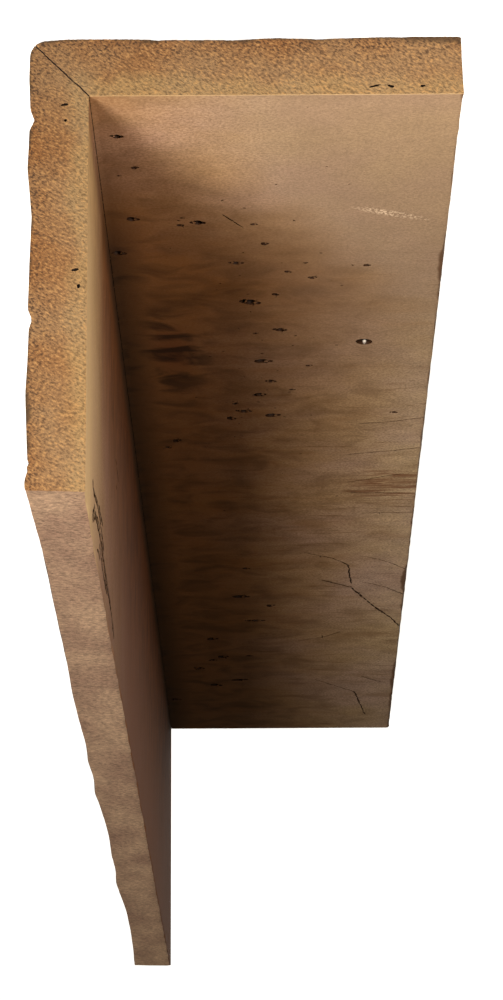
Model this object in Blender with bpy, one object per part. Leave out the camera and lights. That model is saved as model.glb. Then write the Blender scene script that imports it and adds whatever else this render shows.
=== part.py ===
"""Faux ceiling beam: one length of an L-shaped cover moulded in rigid foam.

Two boards meet in a glued mitre along the beam's outer corner. Their outer faces are hewn
like old timber, with adze hollows and checks that run with the grain. Their inner faces
and free edges are flat, and the length is cut square at both ends.

The beam lies as it is fitted, bottom board down and side board up. X runs across the
bottom board towards the side board, Y runs along the beam from the near cut end, and Z is
up. The origin is under the middle of the beam, level with the lowest crests of its
underside.
"""

import math

import bmesh
import bpy
import numpy as np

# Driving dimensions, in metres
BEAM_LENGTH = 1.000
BEAM_WIDTH = 0.152
BEAM_HEIGHT = 0.165
WALL = 0.0215  # from the flat inner face to the highest crest of the hewn face
GLUE_GAP = 0.0003  # width of the seam in the mitre
CORNER_RADIUS = 0.006  # worn outer corner, where the two hewn faces meet
EDGE_RADIUS = 0.002  # hewn face to free edge

# Spacing of the mesh over the hewn faces, in metres
ROW_PITCH = 0.0145
COLUMN_PITCH = 0.013
CORNER_STEPS = 3
EDGE_STEPS = 2

# Depths of the carving below the highest crest, in metres
CROWN = 0.0008  # how far a rib falls away from its middle to its checks
CORNER_BLEND = 0.024  # width over which a face takes on the wear of the corner
CHECK_HALF_WIDTH = 0.0036
CHECK_FADE = 0.07  # length over which a check runs out

# The grain wanders sideways as it runs along the beam, in metres
GRAIN_SWAY = 0.0035
GRAIN_WAVE = 0.62
GRAIN_LAG = 18.0  # radians of the wave for each metre across

# Adze hollows, in metres: their pitch along a lane, and their mean half sizes and depths
LANE_PITCH = 0.095
HOLLOW_HALF_LENGTH = 0.078
HOLLOW_HALF_WIDTH = 0.034
SIDE_HOLLOW_DEPTH = 0.0044
BOTTOM_HOLLOW_DEPTH = 0.0030
LANE_SHARES = (0.16, 0.41, 0.66)
SIDE_SEED = 285
BOTTOM_SEED = 52

# Carving is placed by shares: across from the outer corner, along from the near cut end.
# A check is (across, first, last, depth in metres).
SIDE_CHECKS = (
    (0.185, -0.20, 0.47, 0.0018),
    (0.400, 0.38, 1.20, 0.0022),
    (0.627, -0.20, 0.82, 0.0014),
    (0.953, -0.20, 0.24, 0.0016),
)
BOTTOM_CHECKS = (
    (0.300, -0.02, 0.55, 0.0020),
    (0.470, 0.46, 1.20, 0.0022),
    (0.668, -0.02, 0.78, 0.0018),
    (0.860, 0.30, 1.20, 0.0015),
)

# Hollows cut over the outer corner and over the side board's free edge, where their
# outline shows: (along, half length, depth in metres)
CORNER_HOLLOWS = (
    (0.05, 0.16, 0.0009),
    (0.31, 0.13, 0.0020),
    (0.55, 0.10, 0.0013),
    (0.76, 0.14, 0.0022),
    (0.97, 0.08, 0.0012),
)
SIDE_EDGE_HOLLOWS = (
    (0.120, 0.190, 0.0030),
    (0.394, 0.050, 0.0017),
    (0.468, 0.036, 0.0017),
    (0.595, 0.090, 0.0031),
    (0.685, 0.045, 0.0025),
    (0.862, 0.122, 0.0042),
)
BOTTOM_EDGE_HOLLOWS = (
    (0.230, 0.150, 0.0022),
    (0.440, 0.070, 0.0016),
    (0.600, 0.110, 0.0028),
    (0.880, 0.130, 0.0024),
)

SHARP_ANGLE = math.radians(35.0)
FOAM_COLOUR = (0.315, 0.185, 0.095, 1.0)
FOAM_ROUGHNESS = 0.85


def clear_scene():
    """Start from an empty scene."""
    for old in list(bpy.data.objects):
        bpy.data.objects.remove(old, do_unlink=True)


def foam_material(name):
    """Rigid foam with a baked-on brown skin: matt, and not metallic."""
    material = bpy.data.materials.new(name)
    material.use_nodes = True
    shader = material.node_tree.nodes["Principled BSDF"]
    shader.inputs["Base Color"].default_value = FOAM_COLOUR
    shader.inputs["Roughness"].default_value = FOAM_ROUGHNESS
    shader.inputs["Metallic"].default_value = 0.0
    return material


def smooth_step(value):
    """Rise smoothly from 0 to 1 as value goes from 0 to 1."""
    t = np.clip(value, 0.0, 1.0)
    return t * t * (3.0 - 2.0 * t)


def lane_hollows(face_width, deepest, seed):
    """Adze hollows laid in lanes, as (across, along, half width, half length, depth)."""
    chance = np.random.default_rng(seed)
    per_lane = max(1, round(BEAM_LENGTH / LANE_PITCH))
    hollows = []
    for lane, share in enumerate(LANE_SHARES):
        for i in range(-1, per_lane + 1):
            stagger = 0.5 * (lane % 2) + chance.uniform(-0.25, 0.25)
            hollows.append((
                (share + chance.uniform(-0.05, 0.05)) * face_width,
                (i + 0.5 + stagger) * BEAM_LENGTH / per_lane,
                HOLLOW_HALF_WIDTH * chance.uniform(0.75, 1.2),
                HOLLOW_HALF_LENGTH * chance.uniform(0.6, 1.25),
                deepest * chance.uniform(0.45, 1.1),
            ))
    return hollows


def row_of_hollows(shares, across, half_width):
    """Hollows in one row at a stated place across, in the form lane_hollows gives."""
    return [
        (across, along * BEAM_LENGTH, half_width, half * BEAM_LENGTH, depth)
        for along, half, depth in shares
    ]


def hollow_depth(hollows, across, along):
    """Depth of the deepest hollow at each point, 0 where none reaches."""
    depth = np.zeros_like(across)
    for centre, station, half_width, half_length, deepest in hollows:
        u = (across - centre) / half_width
        v = (along - station) / half_length
        depth = np.maximum(depth, deepest * (1.0 - u * u - v * v))
    return depth


def check_lines(checks, face_width):
    """The checks with their places in metres: (across, first, last, depth)."""
    return [
        (across * face_width, first * BEAM_LENGTH, last * BEAM_LENGTH, depth)
        for across, first, last, depth in checks
    ]


def column_places(lines, face_width):
    """Places of the mesh columns: three for each check, and evenly spaced between."""
    start = CORNER_RADIUS
    stop = face_width - EDGE_RADIUS
    fixed = [start]
    for across, _, _, _ in lines:
        fixed += [across - CHECK_HALF_WIDTH, across, across + CHECK_HALF_WIDTH]
    fixed.append(stop)
    fixed = sorted(min(max(place, start), stop) for place in fixed)
    places = [start]
    for low, high in zip(fixed, fixed[1:]):
        if high - low < 0.0002:
            continue
        steps = max(1, round((high - low) / COLUMN_PITCH))
        places += [low + (high - low) * (i + 1) / steps for i in range(steps)]
    return np.array(places)


def crown_depth(lines, across, face_width):
    """Fall of each rib from its middle to the checks beside it."""
    bounds = [0.0] + [line[0] for line in lines] + [face_width]
    depth = np.zeros_like(across)
    for low, high in zip(bounds, bounds[1:]):
        inside = (across >= low) & (across <= high)
        share = (across - low) / (high - low)
        depth = np.where(inside, CROWN * (2.0 * share - 1.0) ** 2, depth)
    return depth


def check_depth(lines, across, along):
    """Depth of the V-shaped checks, each running out at its two ends."""
    depth = np.zeros_like(across)
    for centre, first, last, deepest in lines:
        groove = np.clip(1.0 - np.abs(across - centre) / CHECK_HALF_WIDTH, 0.0, 1.0)
        inside = np.minimum(along - first, last - along) / CHECK_FADE
        depth = np.maximum(depth, deepest * groove * smooth_step(inside))
    return depth


def grain_sway(across, along, face_width):
    """Sideways wander of the grain, none at the near end or at the face's two edges."""
    lag = GRAIN_LAG * across
    wave = np.sin(2.0 * math.pi * along / GRAIN_WAVE + lag) - np.sin(lag)
    inward = np.minimum(across, face_width - across) / CORNER_BLEND
    return GRAIN_SWAY * wave * smooth_step(inward)


def corner_wear(along):
    """How far the outer corner is worn back at each station, the same on both boards."""
    hollows = row_of_hollows(CORNER_HOLLOWS, 0.0, CORNER_BLEND)
    return hollow_depth(hollows, np.zeros_like(along), along)


def hewn_face(face_width, checks, edge_hollows, deepest, seed):
    """Grid of the hewn face: place across and depth, one row for each station along."""
    rows = max(2, round(BEAM_LENGTH / ROW_PITCH))
    stations = np.linspace(0.0, BEAM_LENGTH, rows + 1)
    lines = check_lines(checks, face_width)
    across, along = np.meshgrid(column_places(lines, face_width), stations)
    hollows = lane_hollows(face_width, deepest, seed)
    hollows += row_of_hollows(edge_hollows, face_width, 2.0 * HOLLOW_HALF_WIDTH)
    depth = hollow_depth(hollows, across, along)
    depth += crown_depth(lines, across, face_width)
    depth += check_depth(lines, across, along)
    wear = corner_wear(stations)
    blend = smooth_step((across - CORNER_RADIUS) / CORNER_BLEND)
    depth = wear[:, None] * (1.0 - blend) + depth * blend
    depth -= depth.min()
    across = across + grain_sway(across, along, face_width)
    return stations, across, depth


def skin_outline(across, depth, face_width):
    """Hewn side of one cross-section as (across, depth), from the mitre to the free edge."""
    centre = CORNER_RADIUS + depth[0]
    widest = math.acos(GLUE_GAP / (2.0 * CORNER_RADIUS)) - math.pi / 4.0
    points = []
    for i in range(CORNER_STEPS):
        angle = widest * (1.0 - i / CORNER_STEPS)
        points.append((
            centre - CORNER_RADIUS * math.sin(angle),
            centre - CORNER_RADIUS * math.cos(angle),
        ))
    points.append((centre, depth[0]))
    points += list(zip(across[1:], depth[1:]))
    for i in range(EDGE_STEPS):
        angle = math.pi / 2.0 * (i + 1) / EDGE_STEPS
        points.append((
            face_width - EDGE_RADIUS + EDGE_RADIUS * math.sin(angle),
            depth[-1] + EDGE_RADIUS - EDGE_RADIUS * math.cos(angle),
        ))
    return points


def build_board(name, face_width, checks, edge_hollows, deepest, seed, place):
    """Loft a board along the beam from its cross-sections.

    deepest is the depth of its mean adze hollow. place turns a point (across, depth,
    along) into its place in the beam.
    """
    stations, across, depth = hewn_face(face_width, checks, edge_hollows, deepest, seed)
    bm = bmesh.new()
    skin = []
    for row, station in enumerate(stations):
        outline = skin_outline(across[row], depth[row], face_width)
        skin.append([bm.verts.new(place(a, h, station)) for a, h in outline])
    mitre_foot = WALL + GLUE_GAP / math.sqrt(2.0)
    near_inner, far_inner = (
        [bm.verts.new(place(a, WALL, station)) for a in (face_width, mitre_foot)]
        for station in (stations[0], stations[-1])
    )
    for near, far in zip(skin, skin[1:]):
        for i in range(len(near) - 1):
            bm.faces.new((near[i], near[i + 1], far[i + 1], far[i]))
    mitre_line = [row[0] for row in skin]
    free_edge_line = [row[-1] for row in skin]
    bm.faces.new(mitre_line + [far_inner[1], near_inner[1]])
    bm.faces.new(free_edge_line + [far_inner[0], near_inner[0]])
    bm.faces.new(near_inner + far_inner[::-1])
    bm.faces.new(skin[0] + near_inner)
    bm.faces.new(skin[-1] + far_inner)
    bmesh.ops.recalc_face_normals(bm, faces=bm.faces)
    mesh = bpy.data.meshes.new(name)
    bm.to_mesh(mesh)
    bm.free()
    mesh.shade_smooth()
    mesh.set_sharp_from_angle(angle=SHARP_ANGLE)
    board = bpy.data.objects.new(name, mesh)
    board.data.materials.append(foam_material(name + "_foam"))
    bpy.context.scene.collection.objects.link(board)
    return board


def build_beam():
    """Both boards, where they meet in the beam."""
    right = BEAM_WIDTH / 2.0
    near = -BEAM_LENGTH / 2.0
    build_board(
        "bottom_board", BEAM_WIDTH, BOTTOM_CHECKS, BOTTOM_EDGE_HOLLOWS,
        BOTTOM_HOLLOW_DEPTH, BOTTOM_SEED,
        lambda across, depth, along: (right - across, near + along, depth),
    )
    build_board(
        "side_board", BEAM_HEIGHT, SIDE_CHECKS, SIDE_EDGE_HOLLOWS,
        SIDE_HOLLOW_DEPTH, SIDE_SEED,
        lambda across, depth, along: (right - depth, near + along, across),
    )


clear_scene()
build_beam()
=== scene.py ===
# %% [markdown]
# # A faux ceiling beam in moulded foam
#
# The real beam is an imitation of old hewn timber. Two boards of rigid polyurethane foam are
# moulded with a carved and stained face, mitred along one edge, and glued into an L that
# covers the corner between a wall and a ceiling. We look at it from behind: into the L, with
# the raw cut end nearest to us.
#
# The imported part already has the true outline. Here each board is made again with enough
# mesh for what a drawing of its outline can't hold: grain, foam cells, voids and cracks.

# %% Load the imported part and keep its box
import math
import random

import bmesh
import bpy
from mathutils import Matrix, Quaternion, Vector


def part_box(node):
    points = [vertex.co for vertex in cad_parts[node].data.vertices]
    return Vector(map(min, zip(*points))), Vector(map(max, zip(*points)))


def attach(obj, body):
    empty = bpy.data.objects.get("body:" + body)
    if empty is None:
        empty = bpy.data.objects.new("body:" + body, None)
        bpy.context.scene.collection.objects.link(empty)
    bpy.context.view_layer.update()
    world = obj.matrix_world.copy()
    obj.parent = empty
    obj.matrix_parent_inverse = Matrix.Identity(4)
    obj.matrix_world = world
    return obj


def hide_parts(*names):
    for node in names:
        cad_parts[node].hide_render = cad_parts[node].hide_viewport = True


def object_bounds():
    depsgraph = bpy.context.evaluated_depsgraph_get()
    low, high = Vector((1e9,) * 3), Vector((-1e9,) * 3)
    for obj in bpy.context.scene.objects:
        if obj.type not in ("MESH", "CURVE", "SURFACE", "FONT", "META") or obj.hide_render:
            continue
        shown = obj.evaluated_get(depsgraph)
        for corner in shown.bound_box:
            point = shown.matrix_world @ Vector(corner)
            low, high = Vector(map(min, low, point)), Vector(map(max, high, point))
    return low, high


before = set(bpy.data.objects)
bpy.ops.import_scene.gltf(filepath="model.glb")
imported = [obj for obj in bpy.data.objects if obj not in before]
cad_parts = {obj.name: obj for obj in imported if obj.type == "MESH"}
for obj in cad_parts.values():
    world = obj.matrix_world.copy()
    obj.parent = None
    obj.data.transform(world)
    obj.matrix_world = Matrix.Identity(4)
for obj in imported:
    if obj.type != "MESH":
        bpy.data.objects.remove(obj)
cad_low, cad_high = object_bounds()
print("CAD box", tuple(cad_low), tuple(cad_high))

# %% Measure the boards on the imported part
MM = 0.001
NEAR = cad_low.y  # the cut end that faces the camera
FAR = cad_high.y
FLOOR = cad_low.z
OUTER_SIDE = cad_high.x  # highest crest of the side board's hewn face
FREE_EDGE_X = cad_low.x  # the bottom board's free edge
TOP = cad_high.z  # the side board's free edge
INNER_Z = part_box("bottom_board")[1].z  # the bottom board's inner face
INNER_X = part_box("side_board")[0].x  # the side board's inner face
WALL = INNER_Z - FLOOR
SEAM = 0.3 * MM  # the glue line in the mitre
print("wall", round(WALL / MM, 2), "mm")

# %% [markdown]
# ## The camera
#
# The photograph was taken with a long lens, a little above the beam and in front of its cut
# end, and then turned upside down: the board that lies on the floor is at the top of the
# picture. So the camera aims at the middle of the inner face and is rolled half a turn.
# Blender fits the sensor's 36 mm to the longer side of the picture, which is its height.

# %% Place the camera
CAMERA_PLACE = Vector((-0.0110, -1.7363, 0.5256))
CAMERA_AIM = Vector((0.0023, 0.0053, 0.0221))
CAMERA_ROLL = math.radians(179.8)
CAMERA_LENS = 137.6  # mm

camera_data = bpy.data.cameras.new("camera")
camera_data.lens = CAMERA_LENS
camera_data.sensor_width = 36.0
camera = bpy.data.objects.new("camera", camera_data)
bpy.context.scene.collection.objects.link(camera)
level = (CAMERA_AIM - CAMERA_PLACE).to_track_quat("-Z", "Y")
camera.location = CAMERA_PLACE
camera.rotation_euler = (level @ Quaternion((0.0, 0.0, 1.0), CAMERA_ROLL)).to_euler()
bpy.context.scene.camera = camera
camera_up = camera.rotation_euler.to_matrix() @ Vector((0.0, 1.0, 0.0))
print("camera up", [round(v, 4) for v in camera_up])

# %% [markdown]
# ## Floor and light
#
# The photograph's beam stands out against white. A broad lamp stands close on the right and in
# front of the beam, so the cut end is bright, the light falls off along the beam, and the side
# board throws a soft diagonal shadow over the inner face. A small warm lamp close to the cut
# end lightens the near shadow, and little but a faint sky reaches the depth of the L. The
# photograph's white was cut in afterwards and lights nothing, so the floor is hidden from the
# light that bounces.

# %% Add the floor
FLOOR_SIZE = 14.0  # m

bpy.ops.object.select_all(action="DESELECT")
bpy.ops.mesh.primitive_plane_add(size=FLOOR_SIZE, location=(0.0, 0.0, FLOOR))
floor = bpy.context.object
floor.name = "studio_floor"
floor.visible_diffuse = False

# %% Add the lamps and the sky
LAMP_AIM = Vector((0.0, -0.38, 0.05))


def add_lamp(name, place, size, power, colour):
    """A round soft lamp that shines at the near part of the beam."""
    data = bpy.data.lights.new(name, "AREA")
    data.shape = "DISK"
    data.size = size
    data.energy = power
    data.color = colour
    lamp = bpy.data.objects.new(name, data)
    bpy.context.scene.collection.objects.link(lamp)
    lamp.location = place
    lamp.rotation_euler = (LAMP_AIM - lamp.location).to_track_quat("-Z", "Y").to_euler()
    print(name, "at", [round(v, 2) for v in lamp.location])


add_lamp("key_lamp", (0.633, -1.784, 1.161), 0.5, 50.0, (1.0, 0.98, 0.94))
add_lamp("fill_lamp", (-0.16, -0.72, 0.22), 0.12, 1.4, (1.0, 0.87, 0.76))

sky = bpy.data.worlds.new("warm_sky")
sky.use_nodes = True
sky_light = sky.node_tree.nodes["Background"]
sky_light.inputs["Color"].default_value = (1.0, 0.84, 0.6, 1.0)
sky_light.inputs["Strength"].default_value = 0.11
bpy.context.scene.world = sky
bpy.context.scene.view_settings.view_transform = "Standard"

# %% [markdown]
# ## Working in edit mode from code
#
# Blender's operators act on whatever is selected. Two short helpers stand for what the mouse
# does: make one piece the only selected object, and select the parts of it that pass a test.

# %% Select a piece, and parts of a piece
def work_on(piece):
    """Make piece the only selected object and the active one."""
    bpy.ops.object.select_all(action="DESELECT")
    piece.select_set(True)
    bpy.context.view_layer.objects.active = piece


def pick(piece, kind, test):
    """Open piece in edit mode and select only its VERT, EDGE or FACE parts that pass the test."""
    work_on(piece)
    bpy.ops.object.mode_set(mode="EDIT")
    bpy.ops.mesh.select_mode(type=kind)
    bpy.ops.mesh.select_all(action="DESELECT")
    mesh = bmesh.from_edit_mesh(piece.data)
    parts = {"VERT": mesh.verts, "EDGE": mesh.edges, "FACE": mesh.faces}[kind]
    chosen = [part for part in parts if test(part)]
    for part in chosen:
        part.select_set(True)
    mesh.select_flush_mode()
    bmesh.update_edit_mesh(piece.data)
    return len(chosen)


def close_mesh():
    """Leave edit mode."""
    bpy.ops.object.mode_set(mode="OBJECT")


# %% Apply a modifier
def finish_with(piece, kind, **settings):
    """Give piece a modifier with these settings and apply it."""
    work_on(piece)
    modifier = piece.modifiers.new(kind.lower(), kind)
    for name, value in settings.items():
        setattr(modifier, name, value)
    bpy.ops.object.modifier_apply(modifier=modifier.name)


# %% [markdown]
# ## The two boards
#
# Each board starts as a cube at the board's size. Its inner corner is pulled back along the
# mitre, and its faces are cut into a grid. The grid on the outside is then pressed on to the
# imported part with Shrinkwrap: once straight through the thickness, which keeps the checks in
# the timber sharp, and once to the nearest point, for the last rows on the rounded corner.
# In the photograph the cut end has a fuller outline than the carving behind it, so the
# carving is pressed in less close to the ends. The grid is worth the trouble, because every
# later step moves its points.

# %% Saw the blanks
EDGE_DRAFT = 0.6 * MM  # how far the free edge slopes back towards the hewn face


def saw_blank(name, lowest, highest):
    """A cube between two corners, with its size applied."""
    bpy.ops.object.select_all(action="DESELECT")
    bpy.ops.mesh.primitive_cube_add(size=1.0, location=(lowest + highest) / 2.0)
    blank = bpy.context.object
    blank.name = blank.data.name = name
    bpy.ops.transform.resize(value=highest - lowest)
    bpy.ops.object.transform_apply(location=True, rotation=True, scale=True)
    return blank


gap = SEAM / math.sqrt(2.0)
bottom = saw_blank(
    "bottom_board_foam",
    Vector((FREE_EDGE_X, NEAR, FLOOR)),
    Vector((OUTER_SIDE - gap, FAR, INNER_Z)),
)
side = saw_blank(
    "side_board_foam",
    Vector((INNER_X, NEAR, FLOOR + gap)),
    Vector((OUTER_SIDE, FAR, TOP)),
)
print("blanks", bottom.dimensions[:], side.dimensions[:])

# %% Cut the mitre and slope the free edge
pick(bottom, "VERT", lambda v: v.co.x > INNER_X and v.co.z > INNER_Z - MM)
bpy.ops.transform.translate(value=(-WALL, 0.0, 0.0))
close_mesh()
pick(bottom, "VERT", lambda v: v.co.x < FREE_EDGE_X + MM and v.co.z < FLOOR + MM)
bpy.ops.transform.translate(value=(EDGE_DRAFT, 0.0, 0.0))
close_mesh()
pick(side, "VERT", lambda v: v.co.x < INNER_X + MM and v.co.z < INNER_Z)
bpy.ops.transform.translate(value=(0.0, 0.0, WALL))
close_mesh()
pick(side, "VERT", lambda v: v.co.x > OUTER_SIDE - MM and v.co.z > TOP - MM)
bpy.ops.transform.translate(value=(0.0, 0.0, -EDGE_DRAFT))
close_mesh()

# %% Name the finishes while each board still has six faces
FINISHES = ("cut_foam", "moulded_skin", "edge_skin", "walnut_stain", "void_wall")
for finish in FINISHES:
    bpy.data.materials.new(finish)


def give_finish(board, finish, test):
    """Put a finish on the faces that pass the test."""
    pick(board, "FACE", test)
    board.active_material_index = FINISHES.index(finish)
    bpy.ops.object.material_slot_assign()
    close_mesh()


for board in (bottom, side):
    for finish in FINISHES:
        board.data.materials.append(bpy.data.materials[finish])
    give_finish(board, "cut_foam", lambda f: abs(f.normal.y) > 0.9)
give_finish(bottom, "walnut_stain", lambda f: f.normal.z < -0.9)
give_finish(side, "walnut_stain", lambda f: f.normal.x > 0.9)
give_finish(bottom, "moulded_skin", lambda f: f.normal.z > 0.9)
give_finish(side, "moulded_skin", lambda f: f.normal.x < -0.9)
give_finish(bottom, "edge_skin", lambda f: f.normal.x < -0.9)
give_finish(side, "edge_skin", lambda f: f.normal.z > 0.9)

# %% Cut the blanks into a grid
ROWS = 69  # along the beam, as many as the carving was drawn with
ROW_PARTS = 3  # smooth rows made from each of those
COLUMN = 1.4 * MM


def split_along(piece, axis, parts):
    """Cut every edge that runs along an axis (0, 1 or 2) into equal parts."""

    def runs_along(edge):
        way = edge.verts[1].co - edge.verts[0].co
        return abs(way[axis]) > 0.99 * way.length

    pick(piece, "EDGE", runs_along)
    bpy.ops.mesh.subdivide(number_cuts=parts - 1)
    close_mesh()


for board, across in ((bottom, 0), (side, 2)):
    columns = round(board.dimensions[across] / COLUMN / 10.0)
    split_along(board, 1, ROWS)
    split_along(board, across, columns)
    split_along(board, across, 10)
    print(board.name, columns * 10, "columns", len(board.data.polygons), "faces")

# %% Weigh the points of a board
def weigh_points(board, name, weigh):
    """Make a vertex group in which each point's weight, from 0 to 1, is what weigh says."""
    group = board.vertex_groups.new(name=name)
    count = 0
    for point in board.data.vertices:
        weight = min(max(weigh(point.co), 0.0), 1.0)
        if weight > 0.0:
            group.add([point.index], weight, "REPLACE")
            count += 1
    print(board.name, name, count, "points")


def below_inner_face(board, place):
    """How far a point lies behind the board's flat inner face."""
    return INNER_Z - place.z if board is bottom else place.x - INNER_X


def from_outer_corner(board, place):
    """How far a point lies from the beam's outer corner, across the board."""
    return OUTER_SIDE - place.x if board is bottom else place.z - FLOOR


def from_cut_end(place):
    """How far a point lies from the nearer cut end."""
    return min(place.y - NEAR, FAR - place.y)


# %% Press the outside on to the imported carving
CORNER_KEPT = 7.0 * MM  # the rounded outer corner
END_FADE = 120.0 * MM  # the carving rises to its full depth this far from a cut end
TOP_STRIP = 9.0 * MM  # next to the side board's free edge the carving is shallower
TOP_CARVING = 0.45


def carving_weight(board, place):
    """None on the inner face, all of it on the hewn face, and less close to the cut ends."""
    if below_inner_face(board, place) < WALL - 0.1 * MM:
        return 0.0
    if from_outer_corner(board, place) < CORNER_KEPT:
        return 1.0
    if board is side and place.z > TOP - TOP_STRIP:
        return TOP_CARVING
    return (0.75 if board is side else 0.45) + from_cut_end(place) / END_FADE


def corner_weight(board, place):
    """All of it close to the outer corner on the hewn face, and none elsewhere."""
    if below_inner_face(board, place) < WALL - 0.1 * MM:
        return 0.0
    return 2.0 - from_outer_corner(board, place) / CORNER_KEPT


for board, node in ((bottom, "bottom_board"), (side, "side_board")):
    weigh_points(board, "carving", lambda place: carving_weight(board, place))
    weigh_points(board, "corner", lambda place: corner_weight(board, place))
    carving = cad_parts[node]
    finish_with(
        board, "SHRINKWRAP", target=carving, vertex_group="carving", wrap_method="PROJECT",
        use_project_x=board is side, use_project_z=board is bottom,
        use_negative_direction=board is side, use_positive_direction=board is bottom,
    )
    finish_with(
        board, "SHRINKWRAP", target=carving, vertex_group="corner",
        wrap_method="NEAREST_SURFACEPOINT",
    )

# %% Square the cut ends
def square_ends(board):
    """Press the points of the two end rows flat, in the plane of their cut."""
    for end in (NEAR, FAR):
        pick(board, "VERT", lambda v: abs(v.co.y - end) < 3.0 * MM)
        bpy.ops.transform.resize(value=(1.0, 0.0, 1.0), center_override=(0.0, end, 0.0))
        close_mesh()


for board in (bottom, side):
    square_ends(board)

# %% Smooth the carving along the beam
def is_row_edge(edge):
    """Whether an edge runs from one row to the next."""
    return abs(edge.verts[1].co.y - edge.verts[0].co.y) > 8.0 * MM


def in_end_row(edge):
    """Whether an edge touches a cut end, where the corner would make it bulge."""
    return min(from_cut_end(v.co) for v in edge.verts) < MM


for board in (bottom, side):
    pick(board, "EDGE", lambda e: is_row_edge(e) and not in_end_row(e))
    bpy.ops.mesh.subdivide(number_cuts=ROW_PARTS - 1, smoothness=1.0)
    close_mesh()
    pick(board, "EDGE", lambda e: is_row_edge(e) and in_end_row(e))
    bpy.ops.mesh.subdivide(number_cuts=ROW_PARTS - 1)
    close_mesh()

# %% [markdown]
# ## Timber grain
#
# Displace moves each point along its normal by a texture's brightness. With its middle level at
# 1 it can only push inwards, so the boards never grow. Hard noise has sharp dark creases, and
# read in the frame of an empty that is stretched along the beam it becomes long grain. This
# comes before the thickness is cut, so that the cut ends take on the new outline evenly, and it
# fades out at the outer corner, where the two boards have to meet.

# %% Push surfaces in by noise
def push_in(
    board, group, feature, depth,
    low=0.0, high=1.0, frame_object=None, direction="NORMAL", **settings,
):
    """Displace a group's points inwards, by noise with features of one size in metres.

    Noise below low is pushed in all the way, and noise above high isn't pushed at all. Along
    an axis, a positive depth pushes towards its lower end.
    """
    texture = bpy.data.textures.new(group, "CLOUDS")
    texture.noise_scale = feature
    for name, value in settings.items():
        setattr(texture, name, value)
    texture.use_color_ramp = True
    dark, light = texture.color_ramp.elements
    dark.position, light.position = low, high
    dark.color, light.color = (0.0, 0.0, 0.0, 1.0), (1.0, 1.0, 1.0, 1.0)
    finish_with(
        board, "DISPLACE", texture=texture, strength=depth, mid_level=1.0, direction=direction,
        vertex_group=group, texture_coords="OBJECT" if frame_object else "LOCAL",
        texture_coords_object=frame_object,
    )


# %% Raise the grain on the hewn faces
GRAIN_STRETCH = 24.0
GRAIN_START = 3.0 * MM  # no grain this close to the outer corner
CORNER_FADE = 12.0 * MM
GRAIN_FADE = 60.0 * MM  # the grain rises to its full depth this far from a cut end

grain_frame = bpy.data.objects.new("grain_frame", None)
grain_frame.scale = (1.0, GRAIN_STRETCH, 1.0)
bpy.context.scene.collection.objects.link(grain_frame)
bpy.context.view_layer.update()


def grain_weight(board, place):
    """None on the inner face, and rising away from the outer corner on the hewn face."""
    if below_inner_face(board, place) < MM:
        return 0.0
    from_corner = (from_outer_corner(board, place) - GRAIN_START) / CORNER_FADE
    return min(from_corner, 1.0) * min(0.1 + from_cut_end(place) / GRAIN_FADE, 1.0)


for board in (bottom, side):
    weigh_points(board, "grain", lambda place: grain_weight(board, place))
    push_in(
        board, "grain", 11.0 * MM, 0.6 * MM, high=0.5,
        frame_object=grain_frame, noise_type="HARD_NOISE", noise_depth=1,
    )
    push_in(
        board, "grain", 3.6 * MM, 0.35 * MM, low=0.05, high=0.6,
        frame_object=grain_frame, noise_type="HARD_NOISE", noise_depth=1,
    )
    square_ends(board)
bpy.data.objects.remove(grain_frame, do_unlink=True)

# %% [markdown]
# ## The thickness and the cut ends
#
# So far each board is one cell thick. Its thickness is cut into layers, and the cut ends into
# cells of about half a millimetre, because the foam's open cells show there. The far corners of
# the free edges are knocked round in the photograph. With the grid in place that takes no
# bevel: the end's first columns of points are pulled back on to a rough quarter circle.

# %% Cut through the thickness
LAYERS = 10

for board in (bottom, side):
    # Only the edges through the thickness are still longer than this.
    pick(board, "EDGE", lambda e: e.calc_length() > 10.0 * MM)
    bpy.ops.mesh.subdivide(number_cuts=LAYERS - 1)
    close_mesh()

# %% Round the far corners of the free edges
FAR_CORNER = ((0, 3.4), (1, 0.7))  # (column from the free edge, pull in millimetres)
COLUMN_REACH = 0.65 * MM  # a little less than half a column


def round_far_corner(board):
    """Pull the far end's first columns back, where the free edge meets it."""
    for column, pull in FAR_CORNER:
        middle = column * COLUMN + EDGE_DRAFT / 2.0

        def in_column(point):
            place = point.co
            from_edge = place.x - FREE_EDGE_X if board is bottom else TOP - place.z
            return place.y > FAR - 0.1 * MM and abs(from_edge - middle) < COLUMN_REACH

        count = pick(board, "VERT", in_column)
        bpy.ops.transform.translate(value=(0.0, -pull * MM, 0.0))
        close_mesh()
        print(board.name, "corner column", column, count, "points")


for board in (bottom, side):
    round_far_corner(board)

# %% Cut the ends finer
END_CUTS = 2

for board in (bottom, side):
    pick(board, "FACE", lambda f: abs(f.normal.y) > 0.99)
    bpy.ops.mesh.subdivide(number_cuts=END_CUTS)
    close_mesh()
    print(board.name, len(board.data.polygons), "faces")

# %% [markdown]
# ## Skin, foam cells and worn edges
#
# The same kind of displacement, in small amounts, makes the inner faces a little uneven, sands
# the free edges, wears the long inner edges round, and crumbles the cut ends into cells. It
# comes before the voids are cut. The other way round it would fold their thin walls shut.

# %% Crumble and wear
def points_of(board, finish):
    """The numbers of the points on a board's faces of one finish."""
    wanted = FINISHES.index(finish)
    return {
        point for face in board.data.polygons if face.material_index == wanted
        for point in face.vertices
    }


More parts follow.
